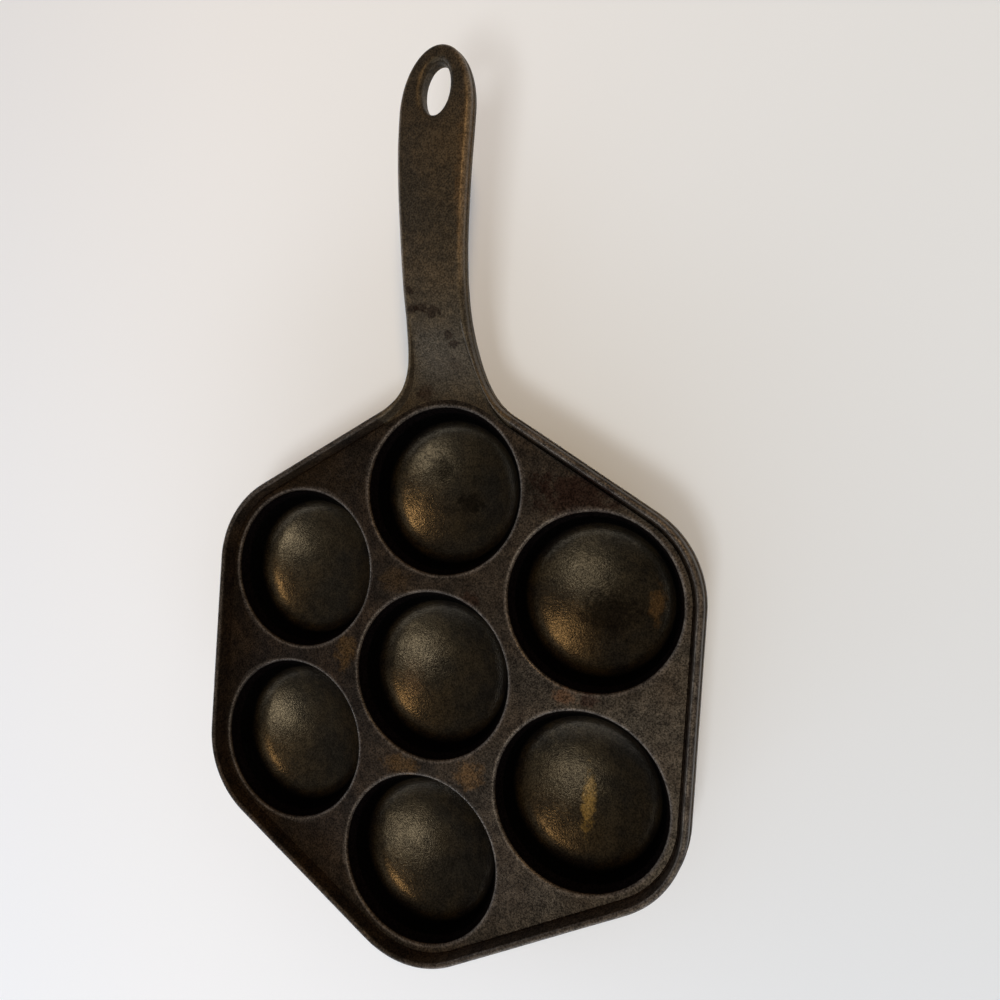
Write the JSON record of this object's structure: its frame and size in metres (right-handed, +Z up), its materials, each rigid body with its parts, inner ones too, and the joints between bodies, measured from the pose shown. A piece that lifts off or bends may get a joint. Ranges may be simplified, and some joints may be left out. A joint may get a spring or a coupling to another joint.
{
  "type": "aebleskiver pan",
  "caption": "Cast iron pan for round pancakes: bowl-shaped cups in a six-sided deck with a raised rim, and a rising handle with a hanging eye.",
  "frame": {"origin": "middle of the flat pad under the centre cup, on the surface the pan stands on", "axes": "+Y along the handle, away from the cups; +X to the right seen from above with the handle pointing away; +Z up"},
  "size_m": [0.1814, 0.3043, 0.0449],
  "materials": {
    "seasoned_iron": "seasoned, satin",
    "rough_iron": "seasoned, rough as cast"
  },
  "bodies": {
    "root": {"cup_centre": "seasoned_iron", "cup_back": "seasoned_iron", "cup_back_left": "seasoned_iron", "cup_front_left": "seasoned_iron", "cup_front": "seasoned_iron", "cup_front_right": "seasoned_iron", "cup_back_right": "seasoned_iron", "deck_plate": "seasoned_iron", "rim": "seasoned_iron", "handle_root": "rough_iron", "handle_grip": "rough_iron", "hanging_eye": "rough_iron"}
  },
  "joints": []
}
